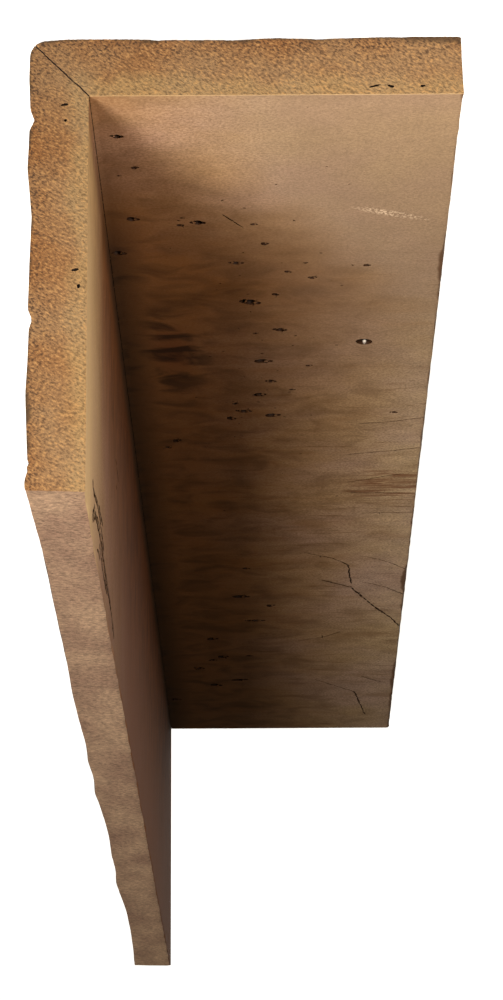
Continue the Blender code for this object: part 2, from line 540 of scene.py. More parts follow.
for board in (bottom, side):
    on_inner = points_of(board, "moulded_skin")
    on_edge = points_of(board, "edge_skin")
    groups = {
        "inner": on_inner - points_of(board, "cut_foam"),
        "sanded": on_edge,
        "long_arris": on_inner & on_edge,
        "near_cells": {v.index for v in board.data.vertices if v.co.y < NEAR + 0.05 * MM},
        "far_cells": {v.index for v in board.data.vertices if v.co.y > FAR - 0.05 * MM},
    }
    for name, points in groups.items():
        board.vertex_groups.new(name=name).add(sorted(points), 1.0, "REPLACE")
        print(board.name, name, len(points), "points")
    push_in(board, "inner", 50.0 * MM, 0.6 * MM, noise_depth=1)
    push_in(board, "inner", 5.0 * MM, 0.12 * MM, noise_depth=1)
    push_in(board, "sanded", 9.0 * MM, 0.5 * MM, noise_depth=2)
    push_in(board, "long_arris", 16.0 * MM, 0.6 * MM, low=0.3, high=0.75, noise_depth=2)
    for group, way in (("near_cells", -1.0), ("far_cells", 1.0)):
        push_in(board, group, 12.0 * MM, way * 0.4 * MM, direction="Y", noise_depth=1)
        push_in(
            board, group, 1.1 * MM, way * 0.35 * MM, low=0.25, high=0.75, direction="Y",
            noise_basis="VORONOI_F1", noise_depth=1,
        )
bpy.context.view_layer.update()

# %% [markdown]
# ## Voids and cracks
#
# Air that was trapped against the mould left voids in the inner faces, and handling cracked
# the skin. A void is cut as two or three small rough balls, squashed and half sunk in the face.
# A crack is a chain of balls, drawn out long and thin. Their places are given as a person would
# measure them with a ruler: across from the inside corner, and along from the cut end.

# %% Places on the inner faces, in millimetres
SUNK = 0.35 * MM  # how far the uneven inner faces lie, on average, behind the flat ones


def on_bottom(across, along):
    """A point on the bottom board's inner face."""
    return Vector((INNER_X - across * MM, NEAR + along * MM, INNER_Z - SUNK))


def on_side(across, along):
    """A point on the side board's inner face."""
    return Vector((INNER_X + SUNK, NEAR + along * MM, INNER_Z + across * MM))


# Each void: (across, along, width across)
BOTTOM_VOIDS = (
    (8, 40, 4), (13, 71, 3), (7, 79, 2), (10, 125, 5), (29, 124, 2), (28, 132, 3),
    (35, 129, 5), (56, 131, 3), (3, 162, 6), (60, 153, 3), (49, 175, 5), (69, 185, 3),
    (76, 175, 2), (100, 178, 3), (79, 192, 3), (54, 221, 7), (64, 212, 3), (66, 256, 5),
    (56, 260, 2), (58, 297, 8), (78, 304, 3), (62, 325, 4), (71, 337, 3), (57, 344, 5),
    (46, 357, 3), (50, 368, 6), (62, 374, 7), (44, 378, 4), (116, 370, 3), (19, 412, 4),
    (15, 422, 3), (48, 633, 4), (44, 690, 9), (60, 709, 5), (52, 740, 9), (28, 780, 6),
    (48, 819, 4), (33, 821, 6), (28, 828, 4), (20, 847, 5), (41, 876, 10), (28, 888, 7),
    (5, 923, 5),
)
# Each void in the near cut end: its (x, z), its width across and its height
END_VOIDS = (
    (62.9, 24.8, 3.1, 0.9), (62.5, 30.6, 1.1, 1.0), (58.7, 85.5, 2.8, 1.1),
    (57.5, 91.5, 1.1, 1.9), (-45.0, 18.5, 4.5, 0.8), (-50.5, 18.6, 2.6, 1.0),
    (-61.6, 18.6, 2.0, 0.9),
)
# Each crack: its points as (across, along), and its width
BOTTOM_CRACKS = (
    (((102, 387), (116, 384), (129, 379)), 0.7),
    (((97, 435), (112, 431), (129, 425)), 0.7),
    (((107, 532), (129, 531)), 0.6),
    (((79, 605), (92, 615), (100, 628), (102, 664)), 0.8),
    (((88, 658), (102, 672), (115, 712), (124, 735), (131, 760)), 1.1),
    (((109, 662), (120, 672), (131, 689)), 0.6),
    (((107, 611), (120, 622), (131, 640)), 0.5),
    (((75, 785), (88, 778), (97, 767)), 0.6),
    (((86, 877), (108, 907), (115, 964)), 0.7),
    (((112, 870), (125, 885)), 0.5),
    (((45, 121), (48, 127), (52, 134)), 0.9),
    (((99, 479), (107, 474), (122, 466)), 0.7),
    (((99, 497), (109, 497), (128, 498)), 0.6),
)
SIDE_VOIDS = ((123, 61, 4), (61, 245, 2), (70, 246, 2), (128, 74, 3), (134, 66, 2))
SIDE_CRACKS = (
    (((135, 60), (129, 78), (127, 100), (128, 124), (130, 150)), 4.2),
    (((130, 150), (130, 175), (132, 205), (136, 232)), 3.4),
    (((124, 66), (121, 92), (122, 118), (125, 140)), 2.6),
    (((132, 110), (135, 140), (133, 176)), 2.4),
    (((137, 96), (136, 112)), 2.0),
    (((119, 104), (118, 130)), 1.8),
    (((61, 236), (62, 262)), 1.6),
)
PINHOLES = 60  # small voids scattered where the larger ones are thickest
PINHOLE_MIDDLE = (60, 260)
PINHOLE_SPREAD = (26, 130)
# The large round void's bright bottom is a painted reflection of the lamp.
LARGE_VOID = (101, 272, 7.2)  # a round one with a glassy bottom

# %% Make rough balls
CRACK_STEP = 7.0 * MM  # about the length of crack that one ball stands for
CRACK_DEEPEST = 2.6  # full depth of a crack's ball, in millimetres
END_VOID_DEPTH = 1.5 * MM

chance = random.Random(11)


def add_ball(place, size, turn, board, subdivisions=2):
    """A squashed ball. size is its full (across, along, deep) in millimetres.

    turn turns it about the normal of the board's inner face.
    """
    across, along, deep = (s * MM / 2.0 for s in size)
    scale, rotation = (across, along, deep), (0.0, 0.0, turn)
    if board is side:
        scale, rotation = (deep, along, across), (turn, 0.0, 0.0)
    bpy.ops.mesh.primitive_ico_sphere_add(
        subdivisions=subdivisions, radius=1.0, location=place, rotation=rotation, scale=scale,
    )
    return bpy.context.object


def add_void(place, width, board):
    """A void: one ball, with one or two smaller ones that run into it."""
    along = min(width, 5.0) * chance.uniform(0.7, 1.3)
    turn = chance.uniform(-0.35, 0.35)
    made = [add_ball(place, (0.8 * width, along, 0.7 * width), turn, board)]
    sideways = Vector((0.0, 0.0, 1.0)) if board is side else Vector((1.0, 0.0, 0.0))
    for way in (-1.0, 1.0)[:chance.choice((1, 2))]:
        shift = sideways * (way * 0.4 * width * MM)
        shift.y += chance.uniform(-0.2, 0.2) * along * MM
        size = (0.5 * width, 0.55 * along, 0.4 * width)
        made.append(add_ball(place + shift, size, turn + chance.uniform(-0.5, 0.5), board))
    return made


def add_crack(points, width, board):
    """A crack: long thin balls from point to point, each a little off the line."""
    made = []
    for first, last in zip(points, points[1:]):
        way = last - first
        parts = max(1, round(way.length / CRACK_STEP))
        heading = math.atan2(way.z, way.y) if board is side else math.atan2(-way.x, way.y)
        for i in range(parts):
            middle = first + way * ((i + 0.5) / parts)
            size = (
                width * chance.uniform(0.7, 1.3),
                way.length / parts / MM * chance.uniform(1.3, 1.7),
                min(width * chance.uniform(1.2, 1.8), CRACK_DEEPEST),
            )
            made.append(add_ball(middle, size, heading + chance.uniform(-0.12, 0.12), board))
    return made


def add_end_void(x, z, wide, high):
    """A slot in the near cut end."""
    place = Vector((x * MM, NEAR, z * MM))
    scale = (wide * MM / 2.0, END_VOID_DEPTH, high * MM / 2.0)
    bpy.ops.mesh.primitive_ico_sphere_add(
        subdivisions=2, radius=1.0, location=place, rotation=(0.0, chance.uniform(-0.3, 0.3), 0.0),
        scale=scale,
    )
    return bpy.context.object


# %% Join the balls into one cutter for each board
VOID_ROUGHNESS = 0.15 * MM  # how far each point of a ball is moved


def join_cutter(made, name, seed):
    """One mesh from many balls, with every point moved a little."""
    bpy.ops.object.select_all(action="DESELECT")
    for ball in made:
        ball.select_set(True)
    bpy.context.view_layer.objects.active = made[0]
    bpy.ops.object.join()
    cutter = bpy.context.object
    cutter.name = name
    bpy.ops.object.transform_apply(location=True, rotation=True, scale=True)
    cutter.data.materials.append(bpy.data.materials["void_wall"])
    pick(cutter, "VERT", lambda v: True)
    bpy.ops.transform.vertex_random(offset=VOID_ROUGHNESS, uniform=0.2, normal=0.0, seed=seed)
    close_mesh()
    print(name, len(made), "balls", len(cutter.data.polygons), "faces")
    return cutter


balls = []
for across, along, width in BOTTOM_VOIDS:
    balls += add_void(on_bottom(across, along), width, bottom)
for points, width in BOTTOM_CRACKS:
    balls += add_crack([on_bottom(*p) for p in points], width, bottom)
for i in range(PINHOLES):
    across, along = (
        chance.gauss(middle, spread) for middle, spread in zip(PINHOLE_MIDDLE, PINHOLE_SPREAD)
    )
    if 3.0 < across < 126.0 and 20.0 < along < 980.0:
        width = chance.uniform(0.8, 1.8)
        size = (width, 0.6 * width, width)
        balls.append(add_ball(on_bottom(across, along), size, chance.uniform(-1, 1), bottom, 1))
across, along, width = LARGE_VOID
balls.append(add_ball(on_bottom(across, along), (width, 1.1 * width, 0.5 * width), 0.3, bottom))
balls += [add_end_void(*void) for void in END_VOIDS if void[0] < 0.0]
bottom_cutter = join_cutter(balls, "bottom_cutter", seed=3)

balls = []
for across, along, width in SIDE_VOIDS:
    size = (width, width * chance.uniform(1.2, 2.0), width * chance.uniform(0.8, 1.2))
    balls.append(add_ball(on_side(across, along), size, chance.uniform(-0.2, 0.2), side))
for points, width in SIDE_CRACKS:
    balls += add_crack([on_side(*p) for p in points], width, side)
balls += [add_end_void(*void) for void in END_VOIDS if void[0] > 0.0]
side_cutter = join_cutter(balls, "side_cutter", seed=5)

# %% Cut the voids and cracks
for board, cutter in ((bottom, bottom_cutter), (side, side_cutter)):
    finish_with(
        board, "BOOLEAN", object=cutter, operation="DIFFERENCE", solver="MANIFOLD",
        material_mode="TRANSFER",
    )
    bpy.data.objects.remove(cutter, do_unlink=True)
    triangles = sum(len(face.vertices) - 2 for face in board.data.polygons)
    print(board.name, len(board.data.polygons), "faces", triangles, "triangles")

# %% [markdown]
# ## Finishes
#
# Every finish reads Object coordinates, which are metres from the middle of the beam, because
# each board's object stands at the origin. So a pattern's scale is one over a real size, and
# the same finish runs on from one board to the other. Colours are written as they would be
# picked from a picture, and one function turns them to the linear values that a shader adds.

# %% Colours and nodes
def linear(code):
    """A hex colour such as C0A17C as linear red, green, blue and alpha."""
    values = [int(code[i:i + 2], 16) / 255.0 for i in (0, 2, 4)]
    return [v / 12.92 if v < 0.04045 else ((v + 0.055) / 1.055) ** 2.4 for v in values] + [1.0]


def add_node(tree, kind, links=None, **settings):
    """Add a node with its settings. links gives each socket a value, or a node that feeds it."""
    made = tree.nodes.new(kind)
    for name, value in settings.items():
        setattr(made, name, value)
    for name, value in (links or {}).items():
        if isinstance(name, int):
            socket = made.inputs[name]
        else:
            socket = next(s for s in made.inputs if s.enabled and s.name == name)
        if isinstance(value, bpy.types.Node):
            value = next(s for s in value.outputs if s.enabled)
        if isinstance(value, bpy.types.NodeSocket):
            tree.links.new(value, socket)
        else:
            socket.default_value = value
    return made


def open_finish(name, **uniform):
    """A finish's node tree, its shader, and Object coordinates, with uniform shader values."""
    material = bpy.data.materials[name]
    material.use_nodes = True
    tree = material.node_tree
    shader = tree.nodes["Principled BSDF"]
    for socket, value in uniform.items():
        shader.inputs[socket.replace("_", " ")].default_value = value
    place = add_node(tree, "ShaderNodeTexCoord").outputs["Object"]
    return tree, shader, place


# %% Distances that several finishes measure
def below_outside(tree, axes):
    """A node for how far a point lies below the nearer hewn face."""
    below_side = add_node(
        tree, "ShaderNodeMath", {0: OUTER_SIDE, 1: axes["X"]}, operation="SUBTRACT",
    )
    return add_node(tree, "ShaderNodeMath", {0: below_side, 1: axes["Z"]}, operation="MINIMUM")


def below_inside(tree, axes):
    """A node for how far a point lies below the flat inner face."""
    below_bottom = add_node(
        tree, "ShaderNodeMath", {0: INNER_Z, 1: axes["Z"]}, operation="SUBTRACT",
    )
    below_side = add_node(
        tree, "ShaderNodeMath", {0: axes["X"], 1: INNER_X}, operation="SUBTRACT",
    )
    return add_node(
        tree, "ShaderNodeMath", {0: below_bottom, 1: below_side}, operation="MAXIMUM",
    )


def from_mark(tree, place, middle, size, turn=0.0):
    """A socket for how far a point lies from a mark's middle, as a share of its size."""
    in_mark = add_node(
        tree, "ShaderNodeMapping",
        {"Vector": place, "Location": middle, "Scale": size, "Rotation": (0.0, 0.0, turn)},
        vector_type="TEXTURE",
    )
    return add_node(
        tree, "ShaderNodeVectorMath", {0: in_mark}, operation="LENGTH",
    ).outputs["Value"]


# %% Lay one more colour over a finish
def lay_over(tree, below, colour, share, reach):
    """Mix a colour over the finish so far, as strongly as two masks allow together."""
    mask = add_node(tree, "ShaderNodeMath", {0: share, 1: reach}, operation="MULTIPLY")
    return add_node(
        tree, "ShaderNodeMix", {"Factor": mask, "A": below, "B": linear(colour)},
        data_type="RGBA",
    )


# %% [markdown]
# ### The raw cut foam
#
# Rigid polyurethane foam that has been sawn shows its open cells: small dark pits with light
# rims, well under a millimetre across. They are coarser and orange-brown next to the moulded
# outside, and fine and cream next to the inner face. The skin on the outside is a thin dark
# line, and so is the glue in the mitre. Depth below the outside is the lesser of two
# distances, one for each board.

# %% Cut foam: colour through the thickness
tree, shader, place = open_finish("cut_foam", Roughness=0.9, IOR=1.4)
axes = add_node(tree, "ShaderNodeSeparateXYZ", {0: place}).outputs
depth = below_outside(tree, axes)
clouds = add_node(
    tree, "ShaderNodeTexNoise", {"Vector": place, "Scale": 1 / (14 * MM), "Detail": 3.0},
)
ragged_depth = add_node(
    tree, "ShaderNodeMath", {0: clouds, 1: 14.0 * MM, 2: depth}, operation="MULTIPLY_ADD",
)
coarse_zone = add_node(
    tree, "ShaderNodeMapRange",
    {"Value": ragged_depth, "From Min": 9.0 * MM, "From Max": 18.0 * MM,
     "To Min": 1.0, "To Max": 0.0},
)
cream_zone = add_node(
    tree, "ShaderNodeMapRange",
    {"Value": ragged_depth, "From Min": 20.0 * MM, "From Max": 25.5 * MM},
)
outer_body = add_node(
    tree, "ShaderNodeMix", {"Factor": coarse_zone, "A": linear("79542F"), "B": linear("724921")},
    data_type="RGBA",
)
body = add_node(
    tree, "ShaderNodeMix", {"Factor": cream_zone, "A": outer_body, "B": linear("876A42")},
    data_type="RGBA",
)

tone = add_node(
    tree, "ShaderNodeTexNoise", {"Vector": place, "Scale": 1 / (24 * MM), "Detail": 3.0},
)
tone_share = add_node(
    tree, "ShaderNodeMapRange",
    {"Value": tone, "From Min": 0.4, "From Max": 0.66, "To Min": 0.0, "To Max": 0.5},
)
toned = add_node(
    tree, "ShaderNodeMix", {"Factor": tone_share, "A": body, "B": linear("80694B")},
    data_type="RGBA",
)

# %% Cut foam: pits and rims of the cells
cell_place = add_node(
    tree, "ShaderNodeMapping",
    {"Vector": place, "Rotation": (0.0, math.radians(28.0), 0.0), "Scale": (1.5, 1.0, 0.9)},
    vector_type="TEXTURE",
)
cells = add_node(
    tree, "ShaderNodeTexNoise",
    {"Vector": cell_place, "Scale": 1 / (0.9 * MM), "Detail": 2.0, "Roughness": 0.65},
)
patchy = add_node(
    tree, "ShaderNodeTexNoise", {"Vector": place, "Scale": 1 / (3.0 * MM), "Detail": 2.0},
)
pits = add_node(
    tree, "ShaderNodeMapRange",
    {"Value": cells, "From Min": 0.36, "From Max": 0.5, "To Min": 1.0, "To Max": 0.0},
)
pit_strength = add_node(
    tree, "ShaderNodeMath", {0: coarse_zone, 1: 0.4, 2: 0.5}, operation="MULTIPLY_ADD",
)
pitted = lay_over(tree, toned, "2E1B0A", pits, pit_strength)
rims = add_node(
    tree, "ShaderNodeMapRange",
    {"Value": cells, "From Min": 0.54, "From Max": 0.68, "To Min": 0.0, "To Max": 0.7},
)
rimmed = add_node(
    tree, "ShaderNodeMix", {"Factor": rims, "A": pitted, "B": linear("A47C4A")},
    data_type="RGBA",
)

# %% Cut foam: outer skin and glue line
ragged_skin = add_node(
    tree, "ShaderNodeMath", {0: clouds, 1: -9.0 * MM, 2: depth}, operation="MULTIPLY_ADD",
)
skin_line = add_node(
    tree, "ShaderNodeMapRange",
    {"Value": ragged_skin, "From Min": -4.0 * MM, "From Max": -2.4 * MM, "To Min": 0.85,
     "To Max": 0.0},
)
skinned = add_node(
    tree, "ShaderNodeMix", {"Factor": skin_line, "A": rimmed, "B": linear("3A2813")},
    data_type="RGBA",
)
across_mitre = add_node(tree, "ShaderNodeMath", {0: axes["X"], 1: axes["Z"]}, operation="ADD")
ragged_mitre = add_node(
    tree, "ShaderNodeMath", {0: patchy, 1: 1.2 * MM, 2: across_mitre}, operation="MULTIPLY_ADD",
)
glue_line = add_node(
    tree, "ShaderNodeMath", {0: ragged_mitre, 1: INNER_X + INNER_Z + 0.6 * MM, 2: 0.35 * MM},
    operation="COMPARE",
)
glued = add_node(
    tree, "ShaderNodeMix", {"Factor": glue_line, "A": skinned, "B": linear("241408")},
    data_type="RGBA",
)
tree.links.new(glued.outputs[2], shader.inputs["Base Color"])
relief = add_node(
    tree, "ShaderNodeBump", {"Height": cells, "Strength": 0.8, "Distance": 0.6 * MM},
)
tree.links.new(relief.outputs["Normal"], shader.inputs["Normal"])
print("cut foam:", len(tree.nodes), "nodes")

# %% [markdown]
# ### The moulded skin of the inner faces
#
# Against the lid of the mould the foam forms a smooth greyish tan skin. Close to, it is
# speckled like fine sandpaper. Handling and release agent left brown streaks and smears across
# it, thicker towards the far end. Light and shade are painted in as well: a brown painted shade
# spreads from the inside corner for the side board's cast shadow and the dark depth of the L,
# the skin is painted darker towards the free edge near the cut end and towards the far end,
# where the lamp's light falls off, and the side board is paler close to the cut end, with
# painted light. Each layer is a mask that mixes one more colour over the last, and nearly every
# mask is a noise or a distance.

# %% Moulded skin: tan with speckles
tree, shader, place = open_finish("moulded_skin", Roughness=0.85, Specular_IOR_Level=0.2)
axes = add_node(tree, "ShaderNodeSeparateXYZ", {0: place}).outputs
patches = add_node(
    tree, "ShaderNodeTexNoise", {"Vector": place, "Scale": 1 / (60 * MM), "Detail": 4.0},
)
patch_share = add_node(
    tree, "ShaderNodeMapRange", {"Value": patches, "From Min": 0.36, "From Max": 0.64},
)
skin = add_node(
    tree, "ShaderNodeMix",
    {"Factor": patch_share, "A": linear("AE936F"), "B": linear("A88A74")}, data_type="RGBA",
)
speckle = add_node(
    tree, "ShaderNodeTexNoise",
    {"Vector": place, "Scale": 1 / (1.1 * MM), "Detail": 3.0, "Roughness": 0.7},
)
speckle_value = add_node(
    tree, "ShaderNodeMapRange",
    {"Value": speckle, "From Min": 0.3, "From Max": 0.7, "To Min": 0.52, "To Max": 1.48},
)
mottle = add_node(
    tree, "ShaderNodeTexNoise", {"Vector": place, "Scale": 1 / (13 * MM), "Detail": 6.0},
)
mottle_value = add_node(
    tree, "ShaderNodeMapRange",
    {"Value": mottle, "From Min": 0.35, "From Max": 0.65, "To Min": 0.88, "To Max": 1.05},
)
fine_value = add_node(
    tree, "ShaderNodeMath", {0: speckle_value, 1: mottle_value}, operation="MULTIPLY",
)
speckled = add_node(tree, "ShaderNodeHueSaturation", {"Value": fine_value, "Color": skin})

# %% Moulded skin: blotches, smears and streaks, thicker towards the far end, and painted shade towards the free edge
blotch_place = add_node(tree, "ShaderNodeMapping", {"Vector": place, "Scale": (0.7, 0.9, 0.7)})
blotches = add_node(
    tree, "ShaderNodeTexNoise",
    {"Vector": blotch_place, "Scale": 1 / (14 * MM), "Detail": 6.0, "Distortion": 0.8},
)
far_share = add_node(
    tree, "ShaderNodeMapRange",
    {"Value": axes["Y"], "From Min": NEAR + 0.1, "From Max": NEAR + 0.4},
)
blotch_share = add_node(
    tree, "ShaderNodeMapRange",
    {"Value": blotches, "From Min": 0.48, "From Max": 0.7, "To Min": 0.0, "To Max": 0.3},
)
blotched = lay_over(tree, speckled, "6E4E34", blotch_share, far_share)
# Painted shade: near the cut end the skin is darker towards the free edge, where the lamp's light
# falls off.
near_share = add_node(
    tree, "ShaderNodeMapRange",
    {"Value": axes["Y"], "From Min": NEAR + 0.2, "From Max": NEAR + 0.42, "To Min": 1.0,
     "To Max": 0.0},
)
falloff_shade_share = add_node(
    tree, "ShaderNodeMapRange",
    {"Value": axes["X"], "From Min": INNER_X - 0.075, "From Max": INNER_X - 0.02,
     "To Min": 0.7, "To Max": 0.15},
)
falloff_shaded = lay_over(tree, blotched, "846C54", falloff_shade_share, near_share)
smear_place = add_node(
    tree, "ShaderNodeMapping",
    {"Vector": place, "Rotation": (0.0, 0.0, math.radians(6.0)), "Scale": (1.0, 3.0, 1.0)},
)
smears = add_node(
    tree, "ShaderNodeTexNoise",
    {"Vector": smear_place, "Scale": 1 / (55 * MM), "Detail": 5.0, "Distortion": 0.6},
)
smear_share = add_node(
    tree, "ShaderNodeMapRange",
    {"Value": smears, "From Min": 0.52, "From Max": 0.72, "To Min": 0.0, "To Max": 0.45},
)
smeared = lay_over(tree, falloff_shaded, "7C5A3A", smear_share, far_share)
streak_place = add_node(
    tree, "ShaderNodeMapping",
    {"Vector": place, "Rotation": (0.0, 0.0, math.radians(-3.0)), "Scale": (1.0, 8.0, 1.0)},
)
streaks = add_node(
    tree, "ShaderNodeTexNoise",
    {"Vector": streak_place, "Scale": 1 / (30 * MM), "Detail": 4.0, "Distortion": 0.9},
)
streak_share = add_node(
    tree, "ShaderNodeMapRange",
    {"Value": streaks, "From Min": 0.6, "From Max": 0.7, "To Min": 0.0, "To Max": 0.6},
)
streaked = lay_over(tree, smeared, "5E3E24", streak_share, far_share)

# %% Moulded skin: painted shade that spreads from the inside corner
across_bottom = add_node(tree, "ShaderNodeMath", {0: INNER_X, 1: axes["X"]}, operation="SUBTRACT")
up_side = add_node(tree, "ShaderNodeMath", {0: axes["Z"], 1: INNER_Z}, operation="SUBTRACT")
from_crease = add_node(
    tree, "ShaderNodeMath", {0: across_bottom, 1: up_side}, operation="MAXIMUM",
)
uneven_crease = add_node(
    tree, "ShaderNodeMath", {0: patches, 1: 70.0 * MM, 2: from_crease}, operation="MULTIPLY_ADD",
)
# Painted shade: the side board's soft cast shadow and the dark depth of the L are painted in as a
# brown shade, which reaches further from the inside corner along the beam.
reach = add_node(
    tree, "ShaderNodeMapRange",
    {"Value": axes["Y"], "From Min": NEAR + 0.05, "From Max": NEAR + 0.2, "To Min": 42.0 * MM,
     "To Max": -25.0 * MM},
)
shade_edge = add_node(tree, "ShaderNodeMath", {0: uneven_crease, 1: reach}, operation="ADD")
shade_share = add_node(
    tree, "ShaderNodeMapRange",
    {"Value": shade_edge, "From Min": 45.0 * MM, "From Max": 135.0 * MM, "To Min": 0.85,
     "To Max": 0.0},
)
shaded = add_node(
    tree, "ShaderNodeMix", {"Factor": shade_share, "A": streaked, "B": linear("885523")},
    data_type="RGBA",
)

# %% Moulded skin: painted shade on the side board, painted light at its near end, and painted shade in the inside corner
side_share = add_node(
    tree, "ShaderNodeMapRange",
    {"Value": up_side, "From Min": 2.0 * MM, "From Max": 12.0 * MM, "To Min": 0.0,
     "To Max": 0.95},
)
# Painted shade: the side board's inner face is browner further along the beam, where less light
# reaches it.
side_shade_reach = add_node(
    tree, "ShaderNodeMapRange",
    {"Value": axes["Y"], "From Min": NEAR + 0.02, "From Max": NEAR + 0.4, "To Min": 0.25},
)
side_shaded = lay_over(tree, shaded, "80481A", side_share, side_shade_reach)
# Painted light: the side board's inner face is paler close to the cut end, where the small lamp
# lights it.
side_near_light_share = add_node(
    tree, "ShaderNodeMapRange",
    {"Value": axes["Y"], "From Min": NEAR + 0.03, "From Max": NEAR + 0.13, "To Min": 0.75,
     "To Max": 0.0},
)
side_near_lit = lay_over(tree, side_shaded, "C4A878", side_share, side_near_light_share)
# Painted shade: a dark band along the inside corner.
ragged_crease = add_node(
    tree, "ShaderNodeMath", {0: blotches, 1: 22.0 * MM, 2: from_crease},
    operation="MULTIPLY_ADD",
)
crease_shade_share = add_node(
    tree, "ShaderNodeMapRange",
    {"Value": ragged_crease, "From Min": 10.0 * MM, "From Max": 24.0 * MM, "To Min": 0.85,
     "To Max": 0.0},
)
crease_reach = add_node(
    tree, "ShaderNodeMapRange",
    {"Value": axes["Y"], "From Min": NEAR + 0.05, "From Max": NEAR + 0.17},
)
crease_shaded = lay_over(tree, side_near_lit, "2A1A0D", crease_shade_share, crease_reach)

# %% Moulded skin: painted shade at the far end, and dark blotches in the painted shade
# Painted shade: darker towards the far end, where the lamp's light falls off.
far_shade_share = add_node(
    tree, "ShaderNodeMapRange",
    {"Value": axes["Y"], "From Min": FAR - 0.35, "From Max": FAR, "To Min": 0.0,
     "To Max": 0.4},
)
far_shaded = add_node(
    tree, "ShaderNodeMix", {"Factor": far_shade_share, "A": crease_shaded, "B": linear("38281A")},
    data_type="RGBA",
)

# Dark blotches, laid only where the shade is painted, so that they also deepen the painted shade.
grime_and_shade_share = add_node(
    tree, "ShaderNodeMapRange",
    {"Value": blotches, "From Min": 0.4, "From Max": 0.68, "To Min": 0.0, "To Max": 0.6},
)
grime_and_shade = lay_over(tree, far_shaded, "33200F", grime_and_shade_share, shade_share)

# %% Moulded skin: a mark like a knot, brown smears and a pale scuff
KNOT_PLACE = on_bottom(21, 286)
KNOT_SIZE = (14.0 * MM, 52.0 * MM, 30.0 * MM)
SMEAR_PLACE = on_bottom(118, 484)
SMEAR_SIZE = (26.0 * MM, 36.0 * MM, 30.0 * MM)
SCUFF_PLACE = on_bottom(108, 120)
SCUFF_SIZE = (18.0 * MM, 3.5 * MM, 30.0 * MM)
SCUFF_TURN = math.radians(-25.0)

from_knot = from_mark(tree, place, KNOT_PLACE, KNOT_SIZE)
knot_heart = add_node(
    tree, "ShaderNodeMapRange",
    {"Value": from_knot, "From Min": 0.2, "From Max": 0.8, "To Min": 0.4, "To Max": 0.0},
)
hearted = add_node(
    tree, "ShaderNodeMix", {"Factor": knot_heart, "A": grime_and_shade, "B": linear("6E3618")},
    data_type="RGBA",
)
knot_fade = add_node(
    tree, "ShaderNodeMapRange",
    {"Value": from_knot, "From Min": 0.6, "From Max": 1.3, "To Min": 0.75, "To Max": 0.0},
)
bark = add_node(
    tree, "ShaderNodeMapRange", {"Value": blotches, "From Min": 0.47, "From Max": 0.6},
)
knotted = lay_over(tree, hearted, "20140A", knot_fade, bark)
from_rubbed = from_mark(tree, place, SMEAR_PLACE, SMEAR_SIZE)
rubbed_zone = add_node(
    tree, "ShaderNodeMapRange",
    {"Value": from_rubbed, "From Min": 0.4, "From Max": 1.1, "To Min": 0.8, "To Max": 0.0},
)
rubbed_streaks = add_node(
    tree, "ShaderNodeMapRange", {"Value": streaks, "From Min": 0.46, "From Max": 0.56},
)
rubbed = lay_over(tree, knotted, "70442A", rubbed_zone, rubbed_streaks)
from_scuff = from_mark(tree, place, SCUFF_PLACE, SCUFF_SIZE, SCUFF_TURN)
scuff_share = add_node(
    tree, "ShaderNodeMapRange",
    {"Value": from_scuff, "From Min": 0.2, "From Max": 1.0, "To Min": 1.0, "To Max": 0.0},
)
scuff_grains = add_node(
    tree, "ShaderNodeMapRange", {"Value": speckle, "From Min": 0.48, "From Max": 0.6},
)
scuffed = lay_over(tree, rubbed, "E0C4A4", scuff_share, scuff_grains)

# %% Moulded skin: the worn free edge, a painted highlight on the near rim, and painted shade in voids
from_free_edge = add_node(
    tree, "ShaderNodeMath", {0: axes["X"], 1: FREE_EDGE_X}, operation="SUBTRACT",
)
ragged_edge = add_node(
    tree, "ShaderNodeMath", {0: patches, 1: -12.0 * MM, 2: from_free_edge},
    operation="MULTIPLY_ADD",
)
edge_share = add_node(
    tree, "ShaderNodeMapRange",
    {"Value": ragged_edge, "From Min": -5.6 * MM, "From Max": -4.6 * MM, "To Min": 0.8,
     "To Max": 0.0},
)
edged = add_node(
    tree, "ShaderNodeMix", {"Factor": edge_share, "A": scuffed, "B": linear("4E3018")},
    data_type="RGBA",
)
# A painted highlight: a pale line along the inner faces' edge at the near cut end.
rim_highlight_share = add_node(
    tree, "ShaderNodeMapRange",
    {"Value": axes["Y"], "From Min": NEAR + 0.5 * MM, "From Max": NEAR + 1.6 * MM,
     "To Min": 0.8, "To Max": 0.0},
)
rimmed = add_node(
    tree, "ShaderNodeMix", {"Factor": rim_highlight_share, "A": edged, "B": linear("C9A778")},
    data_type="RGBA",
)
# Painted shade: the skin is darker the deeper it lies below the inner face, in voids and cracks.
sunk = below_inside(tree, axes)
sunk_shade_share = add_node(
    tree, "ShaderNodeMapRange", {"Value": sunk, "From Min": 0.8 * MM, "From Max": 1.8 * MM},
)
recess_shaded = add_node(
    tree, "ShaderNodeMix", {"Factor": sunk_shade_share, "A": rimmed, "B": linear("3A2412")},
    data_type="RGBA",
)
tree.links.new(recess_shaded.outputs[2], shader.inputs["Base Color"])
relief = add_node(
    tree, "ShaderNodeBump", {"Height": speckle, "Strength": 0.55, "Distance": 0.25 * MM},
)
tree.links.new(relief.outputs["Normal"], shader.inputs["Normal"])
print("moulded skin:", len(tree.nodes), "nodes")

# %% [markdown]
# ### The free edges
#
# The free edges were cast against the side of the mould and rubbed down by hand, so they are
# sandy, with light and dark grains, and a little pinker than the inner faces.

